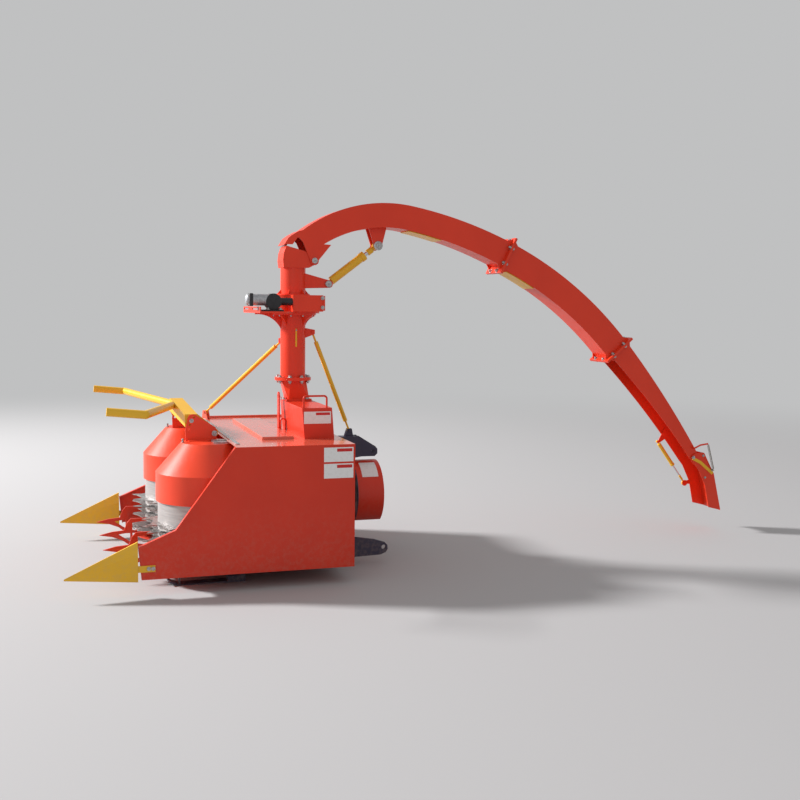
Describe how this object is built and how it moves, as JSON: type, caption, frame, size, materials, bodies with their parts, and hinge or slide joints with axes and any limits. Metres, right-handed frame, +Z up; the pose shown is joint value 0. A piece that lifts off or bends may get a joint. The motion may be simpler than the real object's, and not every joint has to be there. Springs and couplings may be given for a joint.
{
  "type": "mounted forage harvester",
  "caption": "Mounted forage harvester with gathering drums, crop dividers, chopper, slewing mast and a long lifting discharge spout with a deflector.",
  "frame": {"origin": "bottom centre of the whole machine's box, on the ground", "axes": "+Z up; crop enters from -Y, the hitch and the spout's outlet are at +Y, +X is the machine's left"},
  "size_m": [1.7378, 4.689, 2.3168],
  "materials": {
    "red_paint": "gloss",
    "yellow_paint": "gloss",
    "black_paint": "satin",
    "galvanised": "satin",
    "grey_paint": "satin",
    "blade_steel": "brushed",
    "cast": "matte",
    "motor_silver": "satin"
  },
  "bodies": {
    "frame": {"base_frame": "black_paint", "bender_ears": "red_paint", "cap_bars": "galvanised", "chopper_flywheel": "cast", "chopper_housing": "red_paint", "deck": "red_paint", "deck_cover": "red_paint", "discharge_tower": "red_paint", "drive_gearbox": "cast", "drum_spindles": "grey_paint", "floor_pan": "red_paint", "front_stay": "yellow_paint", "grab_handle": "red_paint", "guard_plate": "black_paint", "guide_fingers": "red_paint", "latch_plate": "red_paint", "left_divider": "yellow_paint", "left_drum_cap": "red_paint", "left_side_panel": "red_paint", "lower_link_plates": "black_paint", "lower_mast": "red_paint", "mast_neck": "red_paint", "pto_guard": "red_paint", "rear_stay": "yellow_paint", "rear_wall": "red_paint", "right_divider": "yellow_paint", "right_drum_cap": "red_paint", "right_side_panel": "red_paint", "skids": "black_paint", "slew_gear_case": "black_paint", "slew_housing": "red_paint", "slew_motor": "motor_silver", "slew_platform": "red_paint", "top_link_bracket": "black_paint", "wrap_wall": "red_paint"},
    "left_drum": {"left_drum": "grey_paint", "left_star_wheels": "blade_steel", "left_knife_disc": "blade_steel"},
    "right_drum": {"right_drum": "grey_paint", "right_star_wheels": "blade_steel", "right_knife_disc": "blade_steel"},
    "left_feed_roller": {"left_feed_roller": "cast"},
    "right_feed_roller": {"right_feed_roller": "cast"},
    "pto_shaft": {"pto_shaft": "blade_steel"},
    "crop_bender": {"crop_bender": "yellow_paint"},
    "upper_mast": {"upper_mast": "red_paint", "spout_elbow": "red_paint"},
    "spout": {"spout_section_1": "red_paint", "spout_section_2": "red_paint", "spout_section_3": "red_paint", "clean_out_covers": "yellow_paint"},
    "lift_cylinder_barrel": {"lift_cylinder_barrel": "yellow_paint"},
    "lift_cylinder_rod": {"lift_cylinder_rod": "blade_steel", "lift_rod_eye": "yellow_paint"},
    "trim_cylinder_barrel": {"trim_cylinder_barrel": "yellow_paint"},
    "trim_cylinder_rod": {"trim_cylinder_rod": "blade_steel", "trim_rod_eye": "yellow_paint"},
    "deflector": {"deflector_flap": "red_paint", "deflector_straps": "yellow_paint"}
  },
  "joints": [
    {"name": "left_drum_spin", "type": "hinge", "parent": "frame", "child": "left_drum", "pos_m": [0.43, -1.49747, 0.3], "axis": [0, 0, 1], "continuous": true},
    {"name": "right_drum_spin", "type": "hinge", "parent": "frame", "child": "right_drum", "pos_m": [-0.43, -1.49747, 0.3], "axis": [0, 0, 1], "continuous": true},
    {"name": "left_feed_roller_spin", "type": "hinge", "parent": "frame", "child": "left_feed_roller", "pos_m": [0.125, -1.07747, 0.3], "axis": [0, 0, 1], "continuous": true},
    {"name": "right_feed_roller_spin", "type": "hinge", "parent": "frame", "child": "right_feed_roller", "pos_m": [-0.125, -1.07747, 0.3], "axis": [0, 0, 1], "continuous": true},
    {"name": "pto_spin", "type": "hinge", "parent": "frame", "child": "pto_shaft", "pos_m": [0, -0.49747, 0.414], "axis": [0, 1, 0], "continuous": true},
    {"name": "bender_tilt", "type": "hinge", "parent": "frame", "child": "crop_bender", "pos_m": [0, -1.45047, 0.862], "axis": [1, 0, 0], "range_deg": [-10, 20]},
    {"name": "spout_slew", "type": "hinge", "parent": "frame", "child": "upper_mast", "pos_m": [0, -0.88247, 1.7], "axis": [0, 0, 1], "range_deg": [-100, 100]},
    {"name": "spout_lift", "type": "hinge", "parent": "upper_mast", "child": "spout", "pos_m": [0, -0.76247, 1.93], "axis": [1, 0, 0], "range_deg": [0, 35]},
    {"name": "lift_barrel_pivot", "type": "hinge", "parent": "upper_mast", "child": "lift_cylinder_barrel", "pos_m": [0, -0.65547, 1.783], "axis": [1, 0, 0], "range_deg": [0, 31.98]},
    {"name": "lift_rod_slide", "type": "slide", "parent": "lift_cylinder_barrel", "child": "lift_cylinder_rod", "axis": [0, 0.7943, 0.6075], "range_m": [0, 0.1098]},
    {"name": "deflector_tilt", "type": "hinge", "parent": "spout", "child": "deflector", "pos_m": [0, 2.10247, 0.55501], "axis": [1, 0, 0], "range_deg": [-25, 20]},
    {"name": "trim_barrel_pivot", "type": "hinge", "parent": "spout", "child": "trim_cylinder_barrel", "pos_m": [-0.0973, 1.91647, 0.65701], "axis": [1, 0, 0], "range_deg": [-13.32, 10.66]},
    {"name": "trim_rod_slide", "type": "slide", "parent": "trim_cylinder_barrel", "child": "trim_cylinder_rod", "axis": [0, 0.6004, -0.7997], "range_m": [-0.041, 0.0328]}
  ],
  "couplings": [
    {"joint": "right_drum_spin", "follows": "left_drum_spin", "ratio": -1},
    {"joint": "left_feed_roller_spin", "follows": "left_drum_spin", "ratio": -3},
    {"joint": "right_feed_roller_spin", "follows": "left_drum_spin", "ratio": 3},
    {"joint": "lift_barrel_pivot", "follows": "spout_lift", "ratio": 0.89942},
    {"joint": "lift_rod_slide", "follows": "spout_lift", "m_per_rad": 0.17805},
    {"joint": "trim_barrel_pivot", "follows": "deflector_tilt", "ratio": 0.51741},
    {"joint": "trim_rod_slide", "follows": "deflector_tilt", "m_per_rad": 0.09129}
  ]
}
